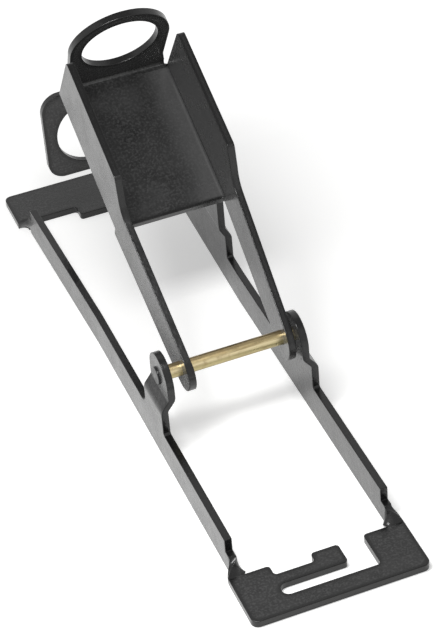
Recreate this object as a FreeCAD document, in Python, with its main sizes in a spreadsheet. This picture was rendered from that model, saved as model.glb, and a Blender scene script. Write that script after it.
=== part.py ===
import FreeCAD, Part
import Sketcher
import math
import os
import re

# Padlock hasp attachment of stamped sheet steel: a base frame with a staple, a lever with a ring
# lug, and the brass pin that the lever turns and slides on.
# X runs along the pin, Y from the notched near plate to the far plate, Z up. The origin is the
# centre of the base's footprint on its underside. The lever stands half open, as when it is put down.

doc = FreeCAD.newDocument("padlock_hasp")

DIMENSIONS = [
    ("steel_thickness", 1.6, "gauge of both stampings"),
    ("running_clearance", 0.05, "radial play of the pin in the ears and in the lever arms"),
    ("inner_bend_radius", 0.8, "inside radius of the bends"),
    ("shear_corner_radius", 0.8, "small rounded corners of the blanked outlines"),
    ("base_length", 158.4, "near edge of the near plate to far edge of the far plate"),
    ("near_plate_overhang", 1.4, "notched end plate, beyond each rail's outer face"),
    ("near_plate_depth", 13.5, "notched end plate, along the base"),
    ("far_plate_overhang", 3.3, "far end plate, beyond each rail's outer face"),
    ("far_plate_depth", 11.5, "far end plate, along the base"),
    ("plate_corner_radius", 1.6, "outer corners of both end plates"),
    ("front_strip_width", 4.4, "strip in front of the notch"),
    ("slot_width", 3.4, "slot between the front strip and the finger"),
    ("slot_end_left", 10.9, "closed end of the slot, left of the middle"),
    ("left_block_edge", 10.5, "inner side of the left block, left of the middle"),
    ("right_block_edge", 10.2, "inner side of the right block, right of the middle"),
    ("finger_width", 2.9, "finger that points right into the notch"),
    ("finger_tip", 4.5, "tip of the finger, right of the middle"),
    ("finger_head_length", 6.1, "wide head at the finger's tip, across"),
    ("finger_head_reach", 5.4, "wide head at the finger's tip, along the base"),
    ("tongue_width", 12.8, "tongue in the middle of the far plate's inner edge"),
    ("tongue_length", 3.4, "how far that tongue reaches"),
    ("rail_height", 7.8, "side rails, standing on edge"),
    ("rail_outer_width", 36.0, "across the two rails, outside"),
    ("rail_setback", 4.6, "from a plate's inner edge to the cut end of a rail's upper part"),
    ("neck_length", 2.9, "twisted neck between a plate's inner edge and a rail"),
    ("neck_height", 4.6, "height of the rail's lower part, where the neck leaves it"),
    ("near_neck_inset", 0.6, "root of a near neck, inward of the rail's inner face"),
    ("far_neck_outset", 0.9, "root of a far neck, outward of the rail's inner face"),
    ("neck_fillet_radius", 1.4, "hollow corner between a far neck and its plate"),
    ("splay_start", 97.5, "where the rails begin to splay outward"),
    ("splay", 1.2, "how far each rail has splayed at the far plate"),
    ("pin_station", 59.2, "pin axis from the near edge"),
    ("pin_height", 19.2, "pin axis above the underside"),
    ("pin_diameter", 3.2, "brass pin"),
    ("pin_head_diameter", 4.0, "upset ends of the pin"),
    ("pin_head_length", 0.4, "how far an upset end stands out"),
    ("pin_end_play", 0.1, "between an ear and the upset end"),
    ("ear_radius", 5.4, "round top of an ear"),
    ("ear_offset", 0.6, "middle of an ear, nearer to the near plate than the pin"),
    ("near_foot_radius", 0.6, "hollow corner between a rail and the near side of an ear or the tab"),
    ("far_foot_radius", 3.0, "hollow corner between a rail and the far side of an ear"),
    ("ear_joggle", 1.9, "how far an ear is set inward of its rail"),
    ("tab_joggle", 1.35, "how far the tab is set inward of its rail"),
    ("joggle_start", 13.8, "height at which the joggle begins"),
    ("joggle_end", 16.3, "height at which the joggle ends"),
    ("tab_station", 104.0, "near edge of the staple's tab"),
    ("tab_corner_radius", 15.5, "large round corner of the tab"),
    ("staple_gap", 0.4, "between the closed ring lug and the staple"),
    ("staple_reach", 14.6, "free edge of the staple, left of the middle"),
    ("staple_bottom", 20.1, "lower edge of the staple"),
    ("staple_top", 42.4, "upper edge of the staple and of its tab"),
    ("staple_top_radius", 4.7, "upper free corner of the staple"),
    ("staple_bottom_radius", 3.8, "lower free corner of the staple"),
    ("staple_hole_width", 23.4, "staple's hole, across"),
    ("staple_hole_height", 16.0, "staple's hole, upright"),
    ("staple_hole_rise", 30.6, "middle of that hole above the underside"),
    ("lever_angle", 25.0, "lever above its closed, level position"),
    ("lever_shift", 1.4, "lever to the right of the middle of the pin"),
    ("tab_clearance", 0.1, "between the tab and the right flange when the lever is level"),
    ("arm_taper", 1.35, "how far each arm closes in from the tray to the pin"),
    ("tray_station", 36.4, "near edge of the tray's web from the pin"),
    ("tray_length", 37.5, "web's near edge to the face of the ring lug"),
    ("tray_drop", 1.0, "web's upper face below the pin axis"),
    ("flange_height", 17.2, "flanges above the web's upper face"),
    ("flange_far_low", 73.2, "foot of a flange's slanting far edge, from the pin"),
    ("flange_far_high", 70.0, "head of that edge, from the pin"),
    ("flange_rise_low", 34.2, "where an arm's upper edge turns up, from the pin"),
    ("flange_rise_high", 39.3, "where it reaches the flange's upper edge, from the pin"),
    ("flange_hollow_radius", 6.0, "hollow corner where the arm turns up"),
    ("flange_corner_radius", 1.2, "flanges' upper corners"),
    ("arm_reach", 5.1, "arm beyond the pin axis"),
    ("arm_end_radius", 4.4, "round near end of an arm"),
    ("arm_end_low", 4.95, "arm's lower edge below the pin axis, at its end"),
    ("arm_end_high", 3.8, "arm's upper edge above the pin axis, at its end"),
    ("arm_tray_high", 8.8, "arm's upper edge above the pin axis, where it turns up"),
    ("lug_foot_gap", 0.4, "between the foot of the ring lug and each flange"),
    ("lug_waist_width", 22.3, "ring lug at its waist"),
    ("lug_waist_height", 4.5, "waist above the web"),
    ("lug_lean", 4.2, "lug leans towards the pin from square, in degrees"),
    ("ring_radius", 11.6, "round top of the ring lug"),
    ("ring_rise", 14.1, "centre of the ring above the web, along the lug"),
    ("ring_hole_diameter", 17.8, "hole for the padlock's shackle"),
]

sheet = doc.addObject("Spreadsheet::Sheet", "dimensions")
for row, (alias, size, meaning) in enumerate(DIMENSIONS, start=1):
    sheet.set(f"A{row}", alias)
    sheet.set(f"B{row}", str(size))
    sheet.set(f"C{row}", meaning)
    sheet.setAlias(f"B{row}", alias)
doc.recompute()

SHEET_PREFIX = "dimensions."
ALIASES = {alias for alias, size, meaning in DIMENSIONS}


def driven(formula):
    """The formula with each alias written as a reference to the sheet."""
    return re.sub(r"[a-z_]+", lambda word: SHEET_PREFIX * (word[0] in ALIASES) + word[0], formula)


def value(formula):
    """The formula's present value in millimetres or degrees."""
    result = sheet.evalExpression(driven(formula))
    return float(getattr(result, "Value", result))


def new_body(label):
    body = doc.addObject("PartDesign::Body", label)
    body.Label = label
    body.AllowCompound = True
    return body


def new_sketch(body, name, plane, offset="0"):
    """A sketch on one of the body's origin planes, moved along the plane's normal."""
    sketch = body.newObject("Sketcher::SketchObject", name)
    origin_plane = [item for item in body.Origin.OriginFeatures if item.Role == plane][0]
    sketch.AttachmentSupport = [(origin_plane, "")]
    sketch.MapMode = "FlatFace"
    sketch.setExpression("AttachmentOffset.Base.z", driven(offset))
    return sketch


def pin_down(sketch, geometry, position, across, up):
    """Hold a point of the sketch at two formulas."""
    for kind, formula in (("DistanceX", across), ("DistanceY", up)):
        index = sketch.addConstraint(
            Sketcher.Constraint(kind, -1, 1, geometry, position, value(formula)))
        sketch.setExpression(f"Constraints[{index}]", driven(formula))


def draw_outline(sketch, corners):
    """A closed outline through corners of (across, up) or (across, up, radius) formulas.

    A rounded corner is an arc tangent to both sides, with a construction point at the corner."""
    count = len(corners)
    points = [FreeCAD.Vector(value(corner[0]), value(corner[1]), 0) for corner in corners]
    radii = [value(corner[2]) if len(corner) > 2 else 0.0 for corner in corners]
    entries, exits, arcs = [], [], []
    for i in range(count):
        back = (points[i - 1] - points[i]).normalize()
        ahead = (points[(i + 1) % count] - points[i]).normalize()
        if radii[i] == 0.0:
            entries.append(points[i])
            exits.append(points[i])
            arcs.append(None)
            continue
        half_angle = back.getAngle(ahead) / 2
        run = radii[i] / math.tan(half_angle)
        bisector = (back + ahead).normalize()
        centre = points[i] + bisector * (radii[i] / math.sin(half_angle))
        entry = points[i] + back * run
        leave = points[i] + ahead * run
        turns_left = back.cross(ahead).z < 0
        first, last = (entry, leave) if turns_left else (leave, entry)
        start = math.atan2(first.y - centre.y, first.x - centre.x)
        end = math.atan2(last.y - centre.y, last.x - centre.x)
        if end < start:
            end += 2 * math.pi
        circle = Part.Circle(centre, FreeCAD.Vector(0, 0, 1), radii[i])
        entries.append(entry)
        exits.append(leave)
        arcs.append((Part.ArcOfCircle(circle, start, end), turns_left))
    lines = []
    for i in range(count):
        lines.append(sketch.addGeometry(Part.LineSegment(exits[i], entries[(i + 1) % count])))
    for i in range(count):
        before, after = lines[i - 1], lines[i]
        if arcs[i] is None:
            sketch.addConstraint(Sketcher.Constraint("Coincident", before, 2, after, 1))
            pin_down(sketch, after, 1, corners[i][0], corners[i][1])
            continue
        arc_shape, turns_left = arcs[i]
        arc = sketch.addGeometry(arc_shape)
        near_end, far_end = (1, 2) if turns_left else (2, 1)
        sketch.addConstraint(Sketcher.Constraint("Tangent", before, 2, arc, near_end))
        sketch.addConstraint(Sketcher.Constraint("Tangent", arc, far_end, after, 1))
        index = sketch.addConstraint(Sketcher.Constraint("Radius", arc, radii[i]))
        sketch.setExpression(f"Constraints[{index}]", driven(corners[i][2]))
        corner = sketch.addGeometry(Part.Point(points[i]), True)
        sketch.addConstraint(Sketcher.Constraint("PointOnObject", corner, 1, before))
        sketch.addConstraint(Sketcher.Constraint("PointOnObject", corner, 1, after))
        pin_down(sketch, corner, 1, corners[i][0], corners[i][1])


def draw_circle(sketch, across, up, radius):
    centre = FreeCAD.Vector(value(across), value(up), 0)
    circle = sketch.addGeometry(Part.Circle(centre, FreeCAD.Vector(0, 0, 1), value(radius)))
    pin_down(sketch, circle, 3, across, up)
    index = sketch.addConstraint(Sketcher.Constraint("Radius", circle, value(radius)))
    sketch.setExpression(f"Constraints[{index}]", driven(radius))


def add_pad(body, name, sketch, length, reverse=False, along=None):
    """A pad; along gives a direction other than the sketch's normal, as three formulas."""
    pad = body.newObject("PartDesign::Pad", name)
    pad.Profile = sketch
    pad.Reversed = reverse
    pad.setExpression("Length", driven(length))
    if along:
        pad.UseCustomVector = True
        pad.AlongSketchNormal = True
        pad.Direction = FreeCAD.Vector(*[value(part) for part in along])
        for axis, part in zip("xyz", along):
            pad.setExpression(f"Direction.{axis}", driven(part))
    doc.recompute()
    return pad


def add_pocket(body, name, sketch, length=None, reverse=False):
    """A pocket to a length, or through everything both ways; it has to remove material."""
    before = body.Shape.Volume
    pocket = body.newObject("PartDesign::Pocket", name)
    pocket.Profile = sketch
    if length is None:
        pocket.Type = "ThroughAll"
        pocket.Midplane = True
    else:
        pocket.setExpression("Length", driven(length))
        pocket.Reversed = reverse
    doc.recompute()
    if not pocket.Shape.Volume < before:
        raise RuntimeError(f"{name} removes nothing")
    return pocket


SIDES = (("right", "1"), ("left", "-1"))

# A full round leaves a very short straight where its two quarters meet: radius to half width.
ROUND_RATIO = "0.995"
RAIL_OUTSIDE = "(rail_outer_width / 2)"
RAIL_INSIDE = f"({RAIL_OUTSIDE} - steel_thickness)"
NEAR_PLATE_SIDE = f"({RAIL_OUTSIDE} + near_plate_overhang)"
FAR_PLATE_SIDE = f"({RAIL_OUTSIDE} + far_plate_overhang)"
EAR_OUTSIDE = f"({RAIL_OUTSIDE} - ear_joggle)"
EAR_INSIDE = f"({EAR_OUTSIDE} - steel_thickness)"
TAB_OUTSIDE = f"({RAIL_OUTSIDE} - tab_joggle)"
TAB_INSIDE = f"({TAB_OUTSIDE} - steel_thickness)"
FAR_EDGE = "(base_length - far_plate_depth)"
SPLAY_SLOPE = "(splay / (base_length - far_plate_depth - splay_start))"
FINGER_NEAR = "(front_strip_width + slot_width)"
LUG_FACE = "(tray_station + tray_length)"
STAPLE_FRONT = f"(pin_station + {LUG_FACE} + steel_thickness + staple_gap)"
LUG_FOOT = "(1.5 * inner_bend_radius)"


def splayed(formula, station):
    """A rail's side at a station beyond the start of its splay."""
    return f"({formula} + {SPLAY_SLOPE} * ({station} - splay_start))"


# Base frame: one stamping. The two end plates lie flat, the rails and their ears stand on edge,
# and a short twisted neck joins each rail to its plate.
base = new_body("base_frame")

near_plate = new_sketch(base, "near_plate_outline", "XY_Plane")
draw_outline(near_plate, [
    (f"-{NEAR_PLATE_SIDE}", "0", "plate_corner_radius"),
    (NEAR_PLATE_SIDE, "0", "plate_corner_radius"),
    (NEAR_PLATE_SIDE, "near_plate_depth"),
    ("right_block_edge", "near_plate_depth", "shear_corner_radius"),
    ("right_block_edge", "front_strip_width", "shear_corner_radius"),
    ("- slot_end_left", "front_strip_width", f"slot_width / 2 * {ROUND_RATIO}"),
    ("- slot_end_left", FINGER_NEAR, f"slot_width / 2 * {ROUND_RATIO}"),
    ("finger_tip", FINGER_NEAR, "shear_corner_radius"),
    ("finger_tip", f"{FINGER_NEAR} + finger_head_reach", "shear_corner_radius"),
    ("finger_tip - finger_head_length", f"{FINGER_NEAR} + finger_head_reach", "shear_corner_radius"),
    ("finger_tip - finger_head_length", f"{FINGER_NEAR} + finger_width", "shear_corner_radius"),
    ("- left_block_edge", f"{FINGER_NEAR} + finger_width", "shear_corner_radius"),
    ("- left_block_edge", "near_plate_depth", "shear_corner_radius"),
    (f"-{NEAR_PLATE_SIDE}", "near_plate_depth"),
])
add_pad(base, "near_plate", near_plate, "steel_thickness")

far_plate = new_sketch(base, "far_plate_outline", "XY_Plane")
draw_outline(far_plate, [
    (f"-{FAR_PLATE_SIDE}", "base_length", "plate_corner_radius"),
    (f"-{FAR_PLATE_SIDE}", FAR_EDGE),
    ("- tongue_width / 2", FAR_EDGE, "shear_corner_radius"),
    ("- tongue_width / 2", f"{FAR_EDGE} - tongue_length", "shear_corner_radius"),
    ("tongue_width / 2", f"{FAR_EDGE} - tongue_length", "shear_corner_radius"),
    ("tongue_width / 2", FAR_EDGE, "shear_corner_radius"),
    (FAR_PLATE_SIDE, FAR_EDGE),
    (FAR_PLATE_SIDE, "base_length", "plate_corner_radius"),
])
add_pad(base, "far_plate", far_plate, "steel_thickness")

# A rail's lower part runs on towards the plates a little beyond its upper part.
RAIL_PARTS = (("lower", "neck_length", "neck_height"), ("full", "rail_setback", "rail_height"))
for side, sign in SIDES:
    for name, setback, height in RAIL_PARTS:
        near_end = f"(near_plate_depth + {setback})"
        far_end = f"({FAR_EDGE} - {setback})"
        rail = new_sketch(base, f"{side}_rail_{name}_plan", "XY_Plane")
        draw_outline(rail, [
            (f"{sign} * {RAIL_INSIDE}", near_end),
            (f"{sign} * {RAIL_OUTSIDE}", near_end),
            (f"{sign} * {RAIL_OUTSIDE}", "splay_start"),
            (f"{sign} * {splayed(RAIL_OUTSIDE, far_end)}", far_end),
            (f"{sign} * {splayed(RAIL_INSIDE, far_end)}", far_end),
            (f"{sign} * {RAIL_INSIDE}", "splay_start"),
        ])
        add_pad(base, f"{side}_rail_{name}", rail, height)

# Each neck is a loft through five sections of the sheet, which turn from flat in the plate's edge
# to upright in the rail's end. The plate's upper face becomes the rail's inner face. The turn is
# quick at the plate and slow at the rail, and the strip widens last.
NECK_SECTIONS = 5
TURN_POWER = 1.4
NEAR_NECK_ROOT = f"({RAIL_INSIDE} - near_neck_inset)"
FAR_NECK_ROOT = f"({splayed(RAIL_INSIDE, FAR_EDGE)} + far_neck_outset)"
NECKS = (
    ("near", "near_plate_depth", "neck_length", NEAR_NECK_ROOT, RAIL_OUTSIDE, NEAR_PLATE_SIDE),
    ("far", FAR_EDGE, "-neck_length", FAR_NECK_ROOT,
     splayed(RAIL_OUTSIDE, f"({FAR_EDGE} - neck_length)"), FAR_PLATE_SIDE),
)
for side, sign in SIDES:
    for end, plate_edge, run, root, rail_outside, plate_side in NECKS:
        root_width = f"({plate_side} - {root})"
        sections = []
        for step in range(NECK_SECTIONS):
            part = step / (NECK_SECTIONS - 1)
            turn = math.pi / 2 * (1 - (1 - part) ** TURN_POWER)
            cosine = round(math.cos(turn), 9)
            sine = round(math.sin(turn), 9)
            shifted = round((0.45 + 0.55 * part) * part, 9)
            widened = round(part ** 3, 9)
            foot = f"({root} + ({rail_outside} - {root}) * {shifted})"
            width = f"({root_width} + (neck_height - {root_width}) * {widened})"
            section = new_sketch(base, f"{side}_{end}_neck_{step + 1}", "XZ_Plane",
                                 f"-({plate_edge} + {run} * {part})")
            draw_outline(section, [
                (f"{sign} * {foot}", "0"),
                (f"{sign} * ({foot} + {width} * {cosine})", f"{width} * {sine}"),
                (f"{sign} * ({foot} + {width} * {cosine} - steel_thickness * {sine})",
                 f"{width} * {sine} + steel_thickness * {cosine}"),
                (f"{sign} * ({foot} - steel_thickness * {sine})", f"steel_thickness * {cosine}"),
            ])
            sections.append(section)
        neck = base.newObject("PartDesign::AdditiveLoft", f"{side}_{end}_neck")
        neck.Profile = sections[0]
        neck.Sections = sections[1:]
        neck.Ruled = False
        doc.recompute()

# Outside each far neck the sheet's edge is drawn round into the plate.
FAR_RAIL_OUTSIDE = splayed(RAIL_OUTSIDE, FAR_EDGE)
for side, sign in SIDES:
    fillet = new_sketch(base, f"{side}_far_neck_fillet_plan", "XY_Plane")
    draw_outline(fillet, [
        (f"{sign} * ({FAR_RAIL_OUTSIDE} - steel_thickness)", f"{FAR_EDGE} + steel_thickness"),
        (f"{sign} * ({FAR_RAIL_OUTSIDE} + 1.2 * neck_fillet_radius)", f"{FAR_EDGE} + steel_thickness"),
        (f"{sign} * ({FAR_RAIL_OUTSIDE} + 1.2 * neck_fillet_radius)", FAR_EDGE),
        (f"{sign} * {FAR_RAIL_OUTSIDE}", FAR_EDGE, "neck_fillet_radius"),
        (f"{sign} * {FAR_RAIL_OUTSIDE}", f"{FAR_EDGE} - 1.2 * neck_fillet_radius"),
        (f"{sign} * ({FAR_RAIL_OUTSIDE} - steel_thickness)", f"{FAR_EDGE} - 1.2 * neck_fillet_radius"),
    ])
    add_pad(base, f"{side}_far_neck_fillet", fillet, "steel_thickness")

# Ears: each grows from its rail, is set inward by a joggle, and ends in a round top.
EAR_MIDDLE = "(pin_station - ear_offset)"
EAR_NEAR = f"({EAR_MIDDLE} - ear_radius)"
EAR_FAR = f"({EAR_MIDDLE} + ear_radius)"
OUTER_BEND = "(inner_bend_radius + steel_thickness)"


def joggle_section(sketch, sign, joggle, splay_here, top):
    """The bent sheet's cross-section from the top of the rail up to a height."""
    outside = f"({RAIL_OUTSIDE} + {splay_here})"
    inside = f"({RAIL_INSIDE} + {splay_here})"
    draw_outline(sketch, [
        (f"{sign} * {inside}", "rail_height - inner_bend_radius"),
        (f"{sign} * {outside}", "rail_height - inner_bend_radius"),
        (f"{sign} * {outside}", "joggle_start", OUTER_BEND),
        (f"{sign} * ({outside} - {joggle})", "joggle_end", "inner_bend_radius"),
        (f"{sign} * ({outside} - {joggle})", top),
        (f"{sign} * ({inside} - {joggle})", top),
        (f"{sign} * ({inside} - {joggle})", "joggle_end", OUTER_BEND),
        (f"{sign} * {inside}", "joggle_start", "inner_bend_radius"),
    ])


for side, sign in SIDES:
    root = new_sketch(base, f"{side}_ear_section", "XZ_Plane", f"- {EAR_NEAR}")
    joggle_section(root, sign, "ear_joggle", "0", "pin_height")
    add_pad(base, f"{side}_ear_root", root, "2 * ear_radius", reverse=True)
    top = new_sketch(base, f"{side}_ear_round", "YZ_Plane", f"{sign} * {EAR_INSIDE}")
    draw_circle(top, EAR_MIDDLE, "pin_height", "ear_radius")
    add_pad(base, f"{side}_ear_top", top, "steel_thickness", reverse=sign == "-1")
    foot = new_sketch(base, f"{side}_ear_foot_outline", "YZ_Plane", f"{sign} * {RAIL_INSIDE}")
    draw_outline(foot, [
        (f"{EAR_NEAR} - near_foot_radius * 1.2", "rail_height - inner_bend_radius"),
        (f"{EAR_FAR} + far_foot_radius * 1.2", "rail_height - inner_bend_radius"),
        (f"{EAR_FAR} + far_foot_radius * 1.2", "rail_height"),
        (EAR_FAR, "rail_height", "far_foot_radius"),
        (EAR_FAR, "rail_height + far_foot_radius * 1.2"),
        (f"{EAR_FAR} - steel_thickness", "rail_height + far_foot_radius * 1.2"),
        (f"{EAR_NEAR} + steel_thickness", "rail_height + near_foot_radius * 1.2"),
        (EAR_NEAR, "rail_height + near_foot_radius * 1.2"),
        (EAR_NEAR, "rail_height", "near_foot_radius"),
        (f"{EAR_NEAR} - near_foot_radius * 1.2", "rail_height"),
    ])
    add_pad(base, f"{side}_ear_foot", foot, "steel_thickness", reverse=sign == "-1")

pin_holes = new_sketch(base, "ear_pin_holes", "YZ_Plane")
draw_circle(pin_holes, "pin_station", "pin_height", "pin_diameter / 2 + running_clearance")
add_pocket(base, "ear_pin_bores", pin_holes)

# Tab and staple: on the right rail only. The tab follows the rail's splay and the ears' joggle,
# and bends round behind the ring lug, where the staple's hole lines up with the ring.
TAB_SPLAY = f"({SPLAY_SLOPE} * (tab_station - splay_start))"
TAB_END = f"({STAPLE_FRONT} - inner_bend_radius)"
TAB_RUN = f"({TAB_END} - tab_station)"
STAPLE_INSIDE = splayed(TAB_INSIDE, STAPLE_FRONT)
STAPLE_OUTSIDE = splayed(TAB_OUTSIDE, STAPLE_FRONT)
BEND_START = f"({STAPLE_FRONT} - 3 * inner_bend_radius)"

tab_section = new_sketch(base, "tab_section", "XZ_Plane", "- tab_station")
joggle_section(tab_section, "1", "tab_joggle", TAB_SPLAY, "staple_top")
tab_length = f"{TAB_RUN} * sqrt(1 + {SPLAY_SLOPE} * {SPLAY_SLOPE})"
add_pad(base, "tab", tab_section, tab_length, along=(SPLAY_SLOPE, "1", "0"))

tab_foot = new_sketch(base, "tab_foot_outline", "YZ_Plane", f"{RAIL_INSIDE} + {TAB_SPLAY}")
draw_outline(tab_foot, [
    ("tab_station - near_foot_radius * 1.5", "rail_height - inner_bend_radius"),
    ("tab_station + near_foot_radius", "rail_height - inner_bend_radius"),
    ("tab_station + near_foot_radius", "rail_height + near_foot_radius * 1.2"),
    ("tab_station", "rail_height + near_foot_radius * 1.2"),
    ("tab_station", "rail_height", "near_foot_radius"),
    ("tab_station - near_foot_radius * 1.5", "rail_height"),
])
add_pad(base, "tab_foot", tab_foot, "steel_thickness")

staple_bend = new_sketch(base, "staple_bend_plan", "XY_Plane", "staple_bottom")
draw_outline(staple_bend, [
    (splayed(TAB_INSIDE, BEND_START), BEND_START),
    (splayed(TAB_OUTSIDE, BEND_START), BEND_START),
    (STAPLE_OUTSIDE, f"{STAPLE_FRONT} + steel_thickness", OUTER_BEND),
    (f"{TAB_INSIDE} - {OUTER_BEND}", f"{STAPLE_FRONT} + steel_thickness"),
    (f"{TAB_INSIDE} - {OUTER_BEND}", STAPLE_FRONT),
    (STAPLE_INSIDE, STAPLE_FRONT, "inner_bend_radius"),
])
add_pad(base, "staple_bend", staple_bend, "staple_top - staple_bottom")

staple = new_sketch(base, "staple_outline", "XZ_Plane", f"- {STAPLE_FRONT}")
draw_outline(staple, [
    ("- staple_reach", "staple_bottom", "staple_bottom_radius"),
    (f"{TAB_INSIDE} - inner_bend_radius", "staple_bottom"),
    (f"{TAB_INSIDE} - inner_bend_radius", "staple_top"),
    ("- staple_reach", "staple_top", "staple_top_radius"),
])
add_pad(base, "staple", staple, "steel_thickness", reverse=True)

HOLE_RADIUS = "(staple_hole_height / 2)"
staple_hole = new_sketch(base, "staple_hole_outline", "XZ_Plane", f"- {STAPLE_FRONT}")
draw_outline(staple_hole, [
    ("- staple_hole_width / 2", f"staple_hole_rise - {HOLE_RADIUS}", f"{HOLE_RADIUS} * {ROUND_RATIO}"),
    ("staple_hole_width / 2", f"staple_hole_rise - {HOLE_RADIUS}", f"{HOLE_RADIUS} * {ROUND_RATIO}"),
    ("staple_hole_width / 2", f"staple_hole_rise + {HOLE_RADIUS}", f"{HOLE_RADIUS} * {ROUND_RATIO}"),
    ("- staple_hole_width / 2", f"staple_hole_rise + {HOLE_RADIUS}", f"{HOLE_RADIUS} * {ROUND_RATIO}"),
])
add_pocket(base, "staple_hole", staple_hole, "steel_thickness")

tab_corner = new_sketch(base, "tab_corner_outline", "YZ_Plane")
draw_outline(tab_corner, [
    ("tab_station - steel_thickness", "staple_top - tab_corner_radius - steel_thickness"),
    ("tab_station", "staple_top - tab_corner_radius - steel_thickness"),
    ("tab_station", "staple_top", "tab_corner_radius"),
    ("tab_station + tab_corner_radius + steel_thickness", "staple_top"),
    ("tab_station + tab_corner_radius + steel_thickness", "staple_top + steel_thickness"),
    ("tab_station - steel_thickness", "staple_top + steel_thickness"),
])
add_pocket(base, "tab_corner", tab_corner)

# Lever: one stamping, drawn level with the pin axis at its own origin. Two arms run into a tray
# with a web and two flanges, and the web's far edge is bent up into the ring lug.
lever = new_body("hasp_lever")

TRAY_OUTSIDE = f"({TAB_INSIDE} + {TAB_SPLAY} - tab_clearance - lever_shift)"
TRAY_INSIDE = f"({TRAY_OUTSIDE} - steel_thickness)"
ARM_OUTSIDE = f"({TRAY_OUTSIDE} - arm_taper)"
LUG_SIDE = f"({TRAY_INSIDE} - lug_foot_gap)"
WEB_UNDERSIDE = "(- tray_drop - steel_thickness)"
FLANGE_TOP = "(flange_height - tray_drop)"
ARM_SLOPE = "(arm_taper / tray_station)"
ARM_END_OUTSIDE = f"({ARM_OUTSIDE} - {ARM_SLOPE} * (arm_reach + steel_thickness))"

channel = new_sketch(lever, "channel_section", "XZ_Plane", "- tray_station")
draw_outline(channel, [
    (f"- {TRAY_OUTSIDE}", WEB_UNDERSIDE, OUTER_BEND),
    (TRAY_OUTSIDE, WEB_UNDERSIDE, OUTER_BEND),
    (TRAY_OUTSIDE, f"{FLANGE_TOP} + steel_thickness"),
    (TRAY_INSIDE, f"{FLANGE_TOP} + steel_thickness"),
    (TRAY_INSIDE, "- tray_drop", "inner_bend_radius"),
    (f"- {TRAY_INSIDE}", "- tray_drop", "inner_bend_radius"),
    (f"- {TRAY_INSIDE}", f"{FLANGE_TOP} + steel_thickness"),
    (f"- {TRAY_OUTSIDE}", f"{FLANGE_TOP} + steel_thickness"),
])
add_pad(lever, "channel", channel, "flange_far_low - tray_station", reverse=True)

for side, sign in SIDES:
    arm = new_sketch(lever, f"{side}_arm_plan", "XY_Plane", "- arm_end_low - steel_thickness")
    draw_outline(arm, [
        (f"{sign} * ({ARM_END_OUTSIDE} - steel_thickness)", "- arm_reach - steel_thickness"),
        (f"{sign} * {ARM_END_OUTSIDE}", "- arm_reach - steel_thickness"),
        (f"{sign} * {TRAY_OUTSIDE}", "tray_station"),
        (f"{sign} * {TRAY_INSIDE}", "tray_station"),
    ])
    add_pad(lever, f"{side}_arm", arm, f"arm_end_low + {FLANGE_TOP} + 2 * steel_thickness")

side_view = new_sketch(lever, "side_trim", "YZ_Plane")
draw_outline(side_view, [
    ("- arm_reach - 3 * steel_thickness", "- arm_end_low - 3 * steel_thickness"),
    ("flange_far_low + 3 * steel_thickness", "- arm_end_low - 3 * steel_thickness"),
    ("flange_far_low + 3 * steel_thickness", f"{FLANGE_TOP} + 3 * steel_thickness"),
    ("- arm_reach - 3 * steel_thickness", f"{FLANGE_TOP} + 3 * steel_thickness"),
])
draw_outline(side_view, [
    ("- arm_reach", "- arm_end_low", "arm_end_radius"),
    ("tray_station", WEB_UNDERSIDE),
    ("flange_far_low", WEB_UNDERSIDE),
    ("flange_far_high", FLANGE_TOP, "flange_corner_radius"),
    ("flange_rise_high", FLANGE_TOP, "flange_corner_radius"),
    ("flange_rise_low", "arm_tray_high", "flange_hollow_radius"),
    ("- arm_reach", "arm_end_high", "arm_end_radius"),
])
add_pocket(lever, "side_outline", side_view)

LEAN_SINE = "sin(lug_lean * 1deg)"
LEAN_COSINE = "cos(lug_lean * 1deg)"
LEAN_SPREAD = f"({LEAN_COSINE} + (1 + {LEAN_SINE}) * {LEAN_SINE} / {LEAN_COSINE})"
LUG_HEEL = f"({LUG_FACE} + steel_thickness * {LEAN_SPREAD})"
LUG_START = "(flange_far_high - steel_thickness)"
LUG_BEND_TOP = "(2 * inner_bend_radius)"


def on_lug(along, through):
    """A point of the leaning lug's section: so far up its front face, so far through the sheet."""
    return (f"{LUG_FACE} - {along} * {LEAN_SINE} + {through} * {LEAN_COSINE}",
            f"-tray_drop + {along} * {LEAN_COSINE} + {through} * {LEAN_SINE}")


lug_bend = new_sketch(lever, "lug_bend_section", "YZ_Plane", f"-{LUG_SIDE}")
draw_outline(lug_bend, [
    (LUG_START, WEB_UNDERSIDE),
    (LUG_HEEL, WEB_UNDERSIDE, OUTER_BEND),
    on_lug(LUG_BEND_TOP, "steel_thickness"),
    on_lug(LUG_BEND_TOP, "0"),
    (LUG_FACE, "-tray_drop", "inner_bend_radius"),
    (LUG_START, "-tray_drop"),
])
add_pad(lever, "lug_bend", lug_bend, f"2 * {LUG_SIDE}")

lug = new_sketch(lever, "lug_outline", "XZ_Plane", f"-{LUG_FACE}")
lug.setExpression("AttachmentOffset.Base.y", driven("-tray_drop"))
lug.AttachmentOffset.Rotation = FreeCAD.Rotation(FreeCAD.Vector(1, 0, 0), value("lug_lean"))
lug.setExpression("AttachmentOffset.Rotation.Axis.x", "1")
lug.setExpression("AttachmentOffset.Rotation.Axis.z", "0")
lug.setExpression("AttachmentOffset.Rotation.Angle", driven("lug_lean * 1deg"))
doc.recompute()
ring_top = "ring_rise + ring_radius"
draw_outline(lug, [
    (f"-{LUG_SIDE}", LUG_FOOT),
    (LUG_SIDE, LUG_FOOT),
    ("lug_waist_width / 2", "lug_waist_height", "lug_waist_height"),
    ("ring_radius", "ring_rise"),
    ("ring_radius", ring_top, f"ring_radius * {ROUND_RATIO}"),
    ("-ring_radius", ring_top, f"ring_radius * {ROUND_RATIO}"),
    ("-ring_radius", "ring_rise"),
    ("-lug_waist_width / 2", "lug_waist_height", "lug_waist_height"),
])
draw_circle(lug, "0", "ring_rise", "ring_hole_diameter / 2")
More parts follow.
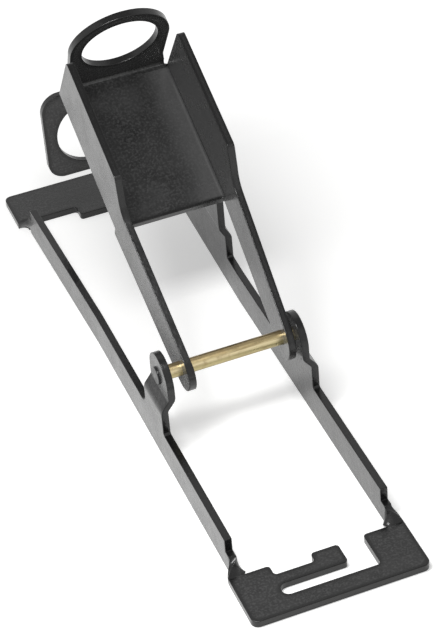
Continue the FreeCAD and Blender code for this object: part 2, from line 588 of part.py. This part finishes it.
add_pad(lever, "lug", lug, "steel_thickness", reverse=True)

arm_holes = new_sketch(lever, "arm_pin_holes", "YZ_Plane")
draw_circle(arm_holes, "0", "0", "pin_diameter / 2 + running_clearance")
add_pocket(lever, "arm_pin_bores", arm_holes)

# Pin: turned brass rod, upset outside both ears so that it stays in.
pin = new_body("pivot_pin")
EAR_FACE = f"({EAR_OUTSIDE} + pin_end_play)"
PIN_END = f"({EAR_FACE} + pin_head_length)"
profile = new_sketch(pin, "pin_profile", "XZ_Plane")
draw_outline(profile, [
    (f"-{PIN_END}", "0"),
    (f"{PIN_END}", "0"),
    (f"{PIN_END}", "pin_head_diameter / 2", "pin_head_length / 2"),
    (f"{EAR_FACE}", "pin_head_diameter / 2"),
    (f"{EAR_FACE}", "pin_diameter / 2"),
    (f"-{EAR_FACE}", "pin_diameter / 2"),
    (f"-{EAR_FACE}", "pin_head_diameter / 2"),
    (f"-{PIN_END}", "pin_head_diameter / 2", "pin_head_length / 2"),
])
rod = pin.newObject("PartDesign::Revolution", "rod")
rod.Profile = profile
rod.ReferenceAxis = (profile, ["H_Axis"])
rod.Angle = 360
doc.recompute()

# Places. The lever and the pin are drawn about the pin axis, the base from its near edge.
base.setExpression("Placement.Base.y", driven("-base_length / 2"))
for body in (lever, pin):
    body.setExpression("Placement.Base.y", driven("pin_station - base_length / 2"))
    body.setExpression("Placement.Base.z", driven("pin_height"))
lever.Placement.Rotation = FreeCAD.Rotation(FreeCAD.Vector(1, 0, 0), value("lever_angle"))
lever.setExpression("Placement.Base.x", driven("lever_shift"))
lever.setExpression("Placement.Rotation.Angle", driven("lever_angle * 1deg"))
doc.recompute()

for item in doc.Objects:
    if {"Invalid", "Error"} & set(item.State):
        raise RuntimeError(f"{item.Label}: {item.State}")
os.makedirs("parts", exist_ok=True)
for body in (base, lever, pin):
    shape = body.Shape
    if shape.isNull() or not shape.isValid() or len(shape.Solids) != 1:
        raise RuntimeError(f"{body.Label} is not one sound solid")
    print(body.Label, len(shape.Solids), "solid,", round(shape.Volume, 1), "cubic mm,", shape.BoundBox)
    shape.exportStep(f"parts/{body.Label}.step")
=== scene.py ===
import math
import bpy
from mathutils import Matrix, Vector

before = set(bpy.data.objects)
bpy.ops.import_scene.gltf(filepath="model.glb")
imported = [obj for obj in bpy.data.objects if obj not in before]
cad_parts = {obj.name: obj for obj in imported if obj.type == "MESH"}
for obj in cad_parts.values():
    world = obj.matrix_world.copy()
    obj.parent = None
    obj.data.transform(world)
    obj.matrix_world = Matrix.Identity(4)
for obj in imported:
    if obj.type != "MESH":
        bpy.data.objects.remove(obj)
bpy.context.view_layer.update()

# The table that the hasp lies on: a wide sheet of opal acrylic on legs, cast and then matted on
# top. A faint light under it makes it white to the eye, strongest where the lamp above reaches it
# least, and the hasp still throws its shadow on it.


def from_hex(code):
    """A hex colour as the linear colour that the shaders work in."""
    parts = [int(code[i:i + 2], 16) / 255 for i in (1, 3, 5)]
    return [c / 12.92 if c <= 0.04045 else ((c + 0.055) / 1.055) ** 2.4 for c in parts] + [1.0]


def add_node(tree, kind, settings=None, links=None):
    """A node, its settings by property, socket name or number, its links as socket: output."""
    node = tree.nodes.new(kind)

    def socket(name):
        if isinstance(name, int):
            return node.inputs[name]
        return next(s for s in node.inputs if s.name == name and s.enabled)

    for name, value in (settings or {}).items():
        if isinstance(name, str) and hasattr(node, name):
            setattr(node, name, value)
        else:
            socket(name).default_value = value
    for name, output in (links or {}).items():
        tree.links.new(output, socket(name))
    return node


SHEET_SIDE = 6.0
SHEET_DROP = 0.00005        # the hasp lies on it with a hair's breadth of air
LAMP_FOOT = (-0.052, -0.056, 0.0)
LAMP_POOL = (0.10, 0.26)    # its pool of light on the sheet, from full to gone
GLOW_UNDER_LAMP = 0.44
GLOW_FAR_OFF = 0.80

half = SHEET_SIDE / 2
sheet_mesh = bpy.data.meshes.new("opal_sheet")
sheet_mesh.from_pydata([(-half, -half, 0), (half, -half, 0), (half, half, 0), (-half, half, 0)],
                       [], [(0, 1, 2, 3)])
opal_sheet = bpy.data.objects.new("opal_sheet", sheet_mesh)
opal_sheet.location.z = -SHEET_DROP
bpy.context.scene.collection.objects.link(opal_sheet)

# Opal acrylic, matted: an even white with no grain and no gloss. The light under it is there only
# for the eye and for reflections, so it adds nothing to what the lamps give the hasp.
opal = bpy.data.materials.new("opal_acrylic_matted")
opal.use_nodes = True
nodes = opal.node_tree
nodes.nodes.clear()
spot = add_node(nodes, "ShaderNodeTexCoord")
away = add_node(nodes, "ShaderNodeVectorMath", {"operation": "DISTANCE", 1: LAMP_FOOT},
                {0: spot.outputs["Object"]})
glow = add_node(nodes, "ShaderNodeMapRange",
                {"interpolation_type": "SMOOTHSTEP",
                 "From Min": LAMP_POOL[0], "From Max": LAMP_POOL[1],
                 "To Min": GLOW_UNDER_LAMP, "To Max": GLOW_FAR_OFF}, {"Value": away.outputs["Value"]})
ray = add_node(nodes, "ShaderNodeLightPath")
seen_or_mirrored = add_node(nodes, "ShaderNodeMath", {"operation": "MAXIMUM"},
                            {0: ray.outputs["Is Camera Ray"], 1: ray.outputs["Is Glossy Ray"]})
any_view = add_node(nodes, "ShaderNodeMath", {"operation": "MAXIMUM"},
                    {0: seen_or_mirrored.outputs["Value"], 1: ray.outputs["Is Transmission Ray"]})
shown = add_node(nodes, "ShaderNodeMath", {"operation": "MULTIPLY"},
                 {0: glow.outputs["Result"], 1: any_view.outputs["Value"]})
glowing = add_node(nodes, "ShaderNodeEmission", {"Color": from_hex("#ffffff")},
                   {"Strength": shown.outputs["Value"]})
matted = add_node(nodes, "ShaderNodeBsdfDiffuse", {"Color": from_hex("#f3f3f2")})
acrylic = add_node(nodes, "ShaderNodeAddShader", None, {0: matted.outputs[0], 1: glowing.outputs[0]})
add_node(nodes, "ShaderNodeOutputMaterial", None, {"Surface": acrylic.outputs[0]})
sheet_mesh.materials.append(opal)

# The base frame: one stamping of 1.6 mm mild steel. Its end plates lie flat, its rails stand on
# edge with the ears for the pin, and the staple is turned up at the right. It was pickled, dipped
# in black enamel and stoved.

PEEL_SIZE = 0.0012      # lumps of the coat, one to the next
GRIT_SIZE = 0.0005      # finest grain: in truth under 0.1 mm, drawn coarser so that it shows
CLOUD_SIZE = 0.006      # patches where the coat drained thick or thin
EDGE_ROUNDING = 0.0003  # the coat fills a sheared edge to about this radius
EDGE_REACH = 0.0013     # a little under the sheet's thickness, so that only its edges are found


def stoved_enamel(name, offset):
    """Black stoving enamel, dipped: satin, a faint orange peel, deeper black on sheared edges."""
    enamel = bpy.data.materials.new(name)
    enamel.use_nodes = True
    nodes = enamel.node_tree
    nodes.nodes.clear()
    spot = add_node(nodes, "ShaderNodeTexCoord")
    here = add_node(nodes, "ShaderNodeVectorMath", {"operation": "ADD", 1: offset},
                    {0: spot.outputs["Object"]}).outputs["Vector"]
    peel = add_node(nodes, "ShaderNodeTexNoise", {"Scale": 1 / PEEL_SIZE, "Detail": 1.5},
                    {"Vector": here})
    grit = add_node(nodes, "ShaderNodeTexNoise", {"Scale": 1 / GRIT_SIZE, "Detail": 2.0},
                    {"Vector": here})
    cloud = add_node(nodes, "ShaderNodeTexNoise",
                     {"Scale": 1 / CLOUD_SIZE, "Detail": 4.0, "Roughness": 0.6}, {"Vector": here})

    # Colour: thick and thin patches, pale specks, and the sheared edges, where the steel is found
    # within a sheet's thickness behind the surface.
    patch = add_node(nodes, "ShaderNodeMapRange", {"From Min": 0.35, "From Max": 0.68},
                     {"Value": cloud.outputs["Fac"]})
    tone = add_node(nodes, "ShaderNodeMix",
                    {"data_type": "RGBA", 6: from_hex("#1f1f1f"), 7: from_hex("#2b2b2b")},
                    {0: patch.outputs["Result"]})
    speck = add_node(nodes, "ShaderNodeMapRange", {"From Min": 0.45, "From Max": 0.72},
                     {"Value": grit.outputs["Fac"]})
    speckled = add_node(nodes, "ShaderNodeMix",
                        {"name": "speckled", "data_type": "RGBA", 7: from_hex("#404040")},
                        {0: speck.outputs["Result"], 6: tone.outputs[2]})
    inward = add_node(nodes, "ShaderNodeAmbientOcclusion",
                      {"inside": True, "only_local": True, "samples": 8, "Distance": EDGE_REACH})
    sheared = add_node(nodes, "ShaderNodeMapRange", {"From Min": 0.92, "From Max": 0.74},
                       {"Value": inward.outputs["AO"]})
    colour = add_node(nodes, "ShaderNodeMix",
                      {"name": "coat_colour", "data_type": "RGBA", 7: from_hex("#0d0d0d")},
                      {0: sheared.outputs["Result"], 6: speckled.outputs[2]})

    # Surface: glossier where the coat is thick, softened edges, lumps and grain.
    gloss = add_node(nodes, "ShaderNodeMapRange",
                     {"From Min": 0.3, "From Max": 0.7, "To Min": 0.20, "To Max": 0.30},
                     {"Value": cloud.outputs["Fac"]})
    rounded = add_node(nodes, "ShaderNodeBevel", {"samples": 8, "Radius": EDGE_ROUNDING})
    lumps = add_node(nodes, "ShaderNodeBump", {"Strength": 0.30, "Distance": 0.00012},
                     {"Height": peel.outputs["Fac"], "Normal": rounded.outputs["Normal"]})
    grain = add_node(nodes, "ShaderNodeBump", {"Strength": 0.25, "Distance": 0.00008},
                     {"Height": grit.outputs["Fac"], "Normal": lumps.outputs["Normal"]})
    coat = add_node(nodes, "ShaderNodeBsdfPrincipled",
                    {"IOR": 1.5, "Sheen Weight": 0.18, "Sheen Roughness": 0.3},
                    {"Base Color": colour.outputs[2], "Roughness": gloss.outputs["Result"],
                     "Normal": grain.outputs["Normal"]})
    add_node(nodes, "ShaderNodeOutputMaterial", None, {"Surface": coat.outputs["BSDF"]})
    return enamel


base_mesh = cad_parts["base_frame"].data
base_mesh.materials.clear()
base_mesh.materials.append(stoved_enamel("base_stoved_black_enamel", (0.0, 0.0, 0.0)))

# The lever: the second stamping from the same sheet, with two arms, a tray between two flanges
# and the ring lug turned up at its end. It took the same dip and stoving, hung on its own hook.

LEVER_OFFSET = (0.31, 0.12, 0.07)   # so that its coat isn't marked as the base's is
BAND_START = 0.0050     # painted light: from here towards the right flange the tray's floor is painted paler
BAND_END = 0.0120
BAND_SHARE = 0.62
TRAY_END = 0.0460
LEVEL_ENOUGH = 0.3      # the tray's floor faces up more than this, and its flanges less

lever_enamel = stoved_enamel("lever_stoved_black_enamel", LEVER_OFFSET)
nodes = lever_enamel.node_tree
spot = add_node(nodes, "ShaderNodeTexCoord")
place = add_node(nodes, "ShaderNodeSeparateXYZ", None, {"Vector": spot.outputs["Object"]})
facing = add_node(nodes, "ShaderNodeSeparateXYZ", None, {"Vector": spot.outputs["Normal"]})
# Painted light: the tray's floor is painted paler towards the right flange. This stands in for the
# light that falls on that side of the floor.
band = add_node(nodes, "ShaderNodeMapRange",
                {"interpolation_type": "SMOOTHSTEP", "From Min": BAND_START, "From Max": BAND_END,
                 "To Max": BAND_SHARE}, {"Value": place.outputs["X"]})
in_tray = add_node(nodes, "ShaderNodeMath", {"operation": "LESS_THAN", 1: TRAY_END},
                   {0: place.outputs["Y"]})
on_top = add_node(nodes, "ShaderNodeMath", {"operation": "GREATER_THAN", 1: LEVEL_ENOUGH},
                  {0: facing.outputs["Z"]})
floor_only = add_node(nodes, "ShaderNodeMath", {"operation": "MULTIPLY"},
                      {0: in_tray.outputs["Value"], 1: on_top.outputs["Value"]})
share = add_node(nodes, "ShaderNodeMath", {"operation": "MULTIPLY"},
                 {0: band.outputs["Result"], 1: floor_only.outputs["Value"]})
paler = add_node(nodes, "ShaderNodeMix", {"data_type": "RGBA", 7: from_hex("#5c5c5c")},
                 {0: share.outputs["Value"], 6: nodes.nodes["speckled"].outputs[2]})
nodes.links.new(paler.outputs[2], nodes.nodes["coat_colour"].inputs[6])

lever_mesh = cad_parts["hasp_lever"].data
lever_mesh.materials.clear()
lever_mesh.materials.append(lever_enamel)

# The pivot pin: a length of drawn brass rod, pushed through both ears and both arms and upset
# outside the ears. Its ends outside the ears are coloured near black and not metallic, the rod between
# is bare.

DRAW_MARK_WIDTH = 0.0003    # in truth some hundredths of a millimetre, drawn coarser to show
DRAW_MARK_LENGTH = 0.012
TARNISH_SIZE = 0.0022
EAR_FACE = 0.01605          # from the middle of the pin, where the near-black ends begin
RUBBED_RING = ((0.40, "#a89d75"), (0.53, "#b0a47a"), (0.588, "#f2e2b6"), (0.64, "#c9b78a"),
               (0.72, "#b9a57c"), (0.85, "#b39f77"))    # a turn: far side, under, near side, top

# Drawn brass, dulled in the air: pale yellow, with long fine lines and brown patches of tarnish.
# A painted highlight runs as a bright strip along the side that faces the near plate and a little up.
brass = bpy.data.materials.new("drawn_brass")
brass.use_nodes = True
nodes = brass.node_tree
nodes.nodes.clear()
spot = add_node(nodes, "ShaderNodeTexCoord")
along = add_node(nodes, "ShaderNodeMapping",
                 {"Scale": (1 / DRAW_MARK_LENGTH, 1 / DRAW_MARK_WIDTH, 1 / DRAW_MARK_WIDTH)},
                 {"Vector": spot.outputs["Object"]})
lines = add_node(nodes, "ShaderNodeTexNoise", {"Scale": 1.0, "Detail": 2.0},
                 {"Vector": along.outputs["Vector"]})
air = add_node(nodes, "ShaderNodeTexNoise", {"Scale": 1 / TARNISH_SIZE, "Detail": 3.0},
               {"Vector": spot.outputs["Object"]})

# Painted highlight: the colour round the pin is set by which way its surface faces. It is brightest
# towards the near side and a little up.
facing = add_node(nodes, "ShaderNodeSeparateXYZ", None, {"Vector": spot.outputs["Normal"]})
nearward = add_node(nodes, "ShaderNodeMath", {"operation": "MULTIPLY", 1: -1.0},
                    {0: facing.outputs["Y"]})
tilt = add_node(nodes, "ShaderNodeMath", {"operation": "ARCTAN2"},
                {0: facing.outputs["Z"], 1: nearward.outputs["Value"]})
around = add_node(nodes, "ShaderNodeMapRange", {"From Min": -math.pi, "From Max": math.pi},
                  {"Value": tilt.outputs["Value"]})
rubbed = add_node(nodes, "ShaderNodeValToRGB", None, {"Fac": around.outputs["Result"]})
stops = rubbed.color_ramp.elements
stops.remove(stops[1])
stops[0].position = RUBBED_RING[0][0]
stops[0].color = from_hex(RUBBED_RING[0][1])
for turn, code in RUBBED_RING[1:]:
    stops.new(turn).color = from_hex(code)

line_tone = add_node(nodes, "ShaderNodeMapRange", {"From Min": 0.42, "From Max": 0.30, "To Max": 0.55},
                     {"Value": lines.outputs["Fac"]})
lined = add_node(nodes, "ShaderNodeMix", {"data_type": "RGBA", 7: from_hex("#8a714d")},
                 {0: line_tone.outputs["Result"], 6: rubbed.outputs["Color"]})
tarnish = add_node(nodes, "ShaderNodeMapRange", {"From Min": 0.55, "From Max": 0.72, "To Max": 0.5},
                   {"Value": air.outputs["Fac"]})
dulled = add_node(nodes, "ShaderNodeMix", {"data_type": "RGBA", 7: from_hex("#8c7350")},
                  {0: tarnish.outputs["Result"], 6: lined.outputs[2]})

place = add_node(nodes, "ShaderNodeSeparateXYZ", None, {"Vector": spot.outputs["Object"]})
from_middle = add_node(nodes, "ShaderNodeMath", {"operation": "ABSOLUTE"}, {0: place.outputs["X"]})
touched_in = add_node(nodes, "ShaderNodeMath", {"operation": "GREATER_THAN", 1: EAR_FACE},
                      {0: from_middle.outputs["Value"]})
skin = add_node(nodes, "ShaderNodeMix", {"data_type": "RGBA", 7: from_hex("#1a1b1c")},
                {0: touched_in.outputs["Value"], 6: dulled.outputs[2]})
bare = add_node(nodes, "ShaderNodeMath", {"operation": "SUBTRACT", 0: 1.0},
                {1: touched_in.outputs["Value"]})
shine = add_node(nodes, "ShaderNodeMapRange",
                 {"From Min": 0.3, "From Max": 0.7, "To Min": 0.24, "To Max": 0.38},
                 {"Value": air.outputs["Fac"]})
marks = add_node(nodes, "ShaderNodeBump", {"Strength": 0.25, "Distance": 0.00004},
                 {"Height": lines.outputs["Fac"]})
rod = add_node(nodes, "ShaderNodeBsdfPrincipled", None,
               {"Base Color": skin.outputs[2], "Metallic": bare.outputs["Value"],
                "Roughness": shine.outputs["Result"], "Normal": marks.outputs["Normal"]})
add_node(nodes, "ShaderNodeOutputMaterial", None, {"Surface": rod.outputs["BSDF"]})

pin_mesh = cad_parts["pivot_pin"].data
pin_mesh.materials.clear()
pin_mesh.materials.append(brass)

# The lamp and the room: a long soft lamp, set square across the hasp, hangs close over the near
# left of the table. The rest of the light comes evenly from the white cloth of a tent round it,
# which is open at its top.

LAMP_HEIGHT = 0.184
LAMP_LENGTH = 0.085
LAMP_WIDTH = 0.045
LAMP_WATTS = 0.28
TENT_LIGHT = 0.30       # what the cloth gives to matt surfaces; the eye sees it white
CLOTH_MIRRORED = 0.80
TOP_MIRRORED = 0.35     # the open top, where only the room's ceiling is mirrored
TENT_RIM = (0.70, 0.97)     # the height of a look, as its sine, where cloth ends and top begins

lamp_light = bpy.data.lights.new("arm_lamp", "AREA")
lamp_light.shape = "RECTANGLE"
lamp_light.size = LAMP_LENGTH
lamp_light.size_y = LAMP_WIDTH
lamp_light.energy = LAMP_WATTS
arm_lamp = bpy.data.objects.new("arm_lamp", lamp_light)
arm_lamp.location = (LAMP_FOOT[0], LAMP_FOOT[1], LAMP_HEIGHT)
arm_lamp.visible_camera = False
bpy.context.scene.collection.objects.link(arm_lamp)

tent = bpy.data.worlds.new("white_tent")
tent.use_nodes = True
nodes = tent.node_tree
nodes.nodes.clear()
look = add_node(nodes, "ShaderNodeTexCoord")
height = add_node(nodes, "ShaderNodeSeparateXYZ", None, {"Vector": look.outputs["Generated"]})
open_top = add_node(nodes, "ShaderNodeMapRange",
                    {"interpolation_type": "SMOOTHSTEP",
                     "From Min": TENT_RIM[0], "From Max": TENT_RIM[1],
                     "To Min": CLOTH_MIRRORED, "To Max": TOP_MIRRORED}, {"Value": height.outputs["Z"]})
ray = add_node(nodes, "ShaderNodeLightPath")
glossy = add_node(nodes, "ShaderNodeMath", {"operation": "MAXIMUM"},
                  {0: ray.outputs["Is Glossy Ray"], 1: ray.outputs["Is Transmission Ray"]})
mirrored = add_node(nodes, "ShaderNodeMath", {"operation": "MULTIPLY"},
                    {0: glossy.outputs["Value"], 1: open_top.outputs["Result"]})
seen = add_node(nodes, "ShaderNodeMath", {"operation": "MAXIMUM"},
                {0: mirrored.outputs["Value"], 1: ray.outputs["Is Camera Ray"]})
strength = add_node(nodes, "ShaderNodeMath", {"operation": "MAXIMUM", 1: TENT_LIGHT},
                    {0: seen.outputs["Value"]})
cloth = add_node(nodes, "ShaderNodeBackground", {"Color": from_hex("#ffffff")},
                 {"Strength": strength.outputs["Value"]})
add_node(nodes, "ShaderNodeOutputWorld", None, {"Surface": cloth.outputs[0]})
bpy.context.scene.world = tent

# The camera: a long lens at the near left, 39 degrees above the table, rolled a little so that
# the hasp runs from the lower right of the picture to its upper left.

CAMERA_PLACE = (-0.1244, -0.3965, 0.3522)
LENS_MM = 137.05
SENSOR_MM = 36

across = Vector((0.9287, -0.3641, -0.0710)).normalized()
back = -Vector((0.2404, 0.7365, -0.6323)).normalized()
up = back.cross(across).normalized()
across = up.cross(back)
lens = bpy.data.cameras.new("camera")
lens.sensor_width = SENSOR_MM
lens.lens = LENS_MM
camera = bpy.data.objects.new("camera", lens)
camera.matrix_world = Matrix.Translation(CAMERA_PLACE) @ Matrix(
    (across, up, back)).transposed().to_4x4()
bpy.context.scene.collection.objects.link(camera)
bpy.context.scene.camera = camera
bpy.context.scene.view_settings.view_transform = "Standard"
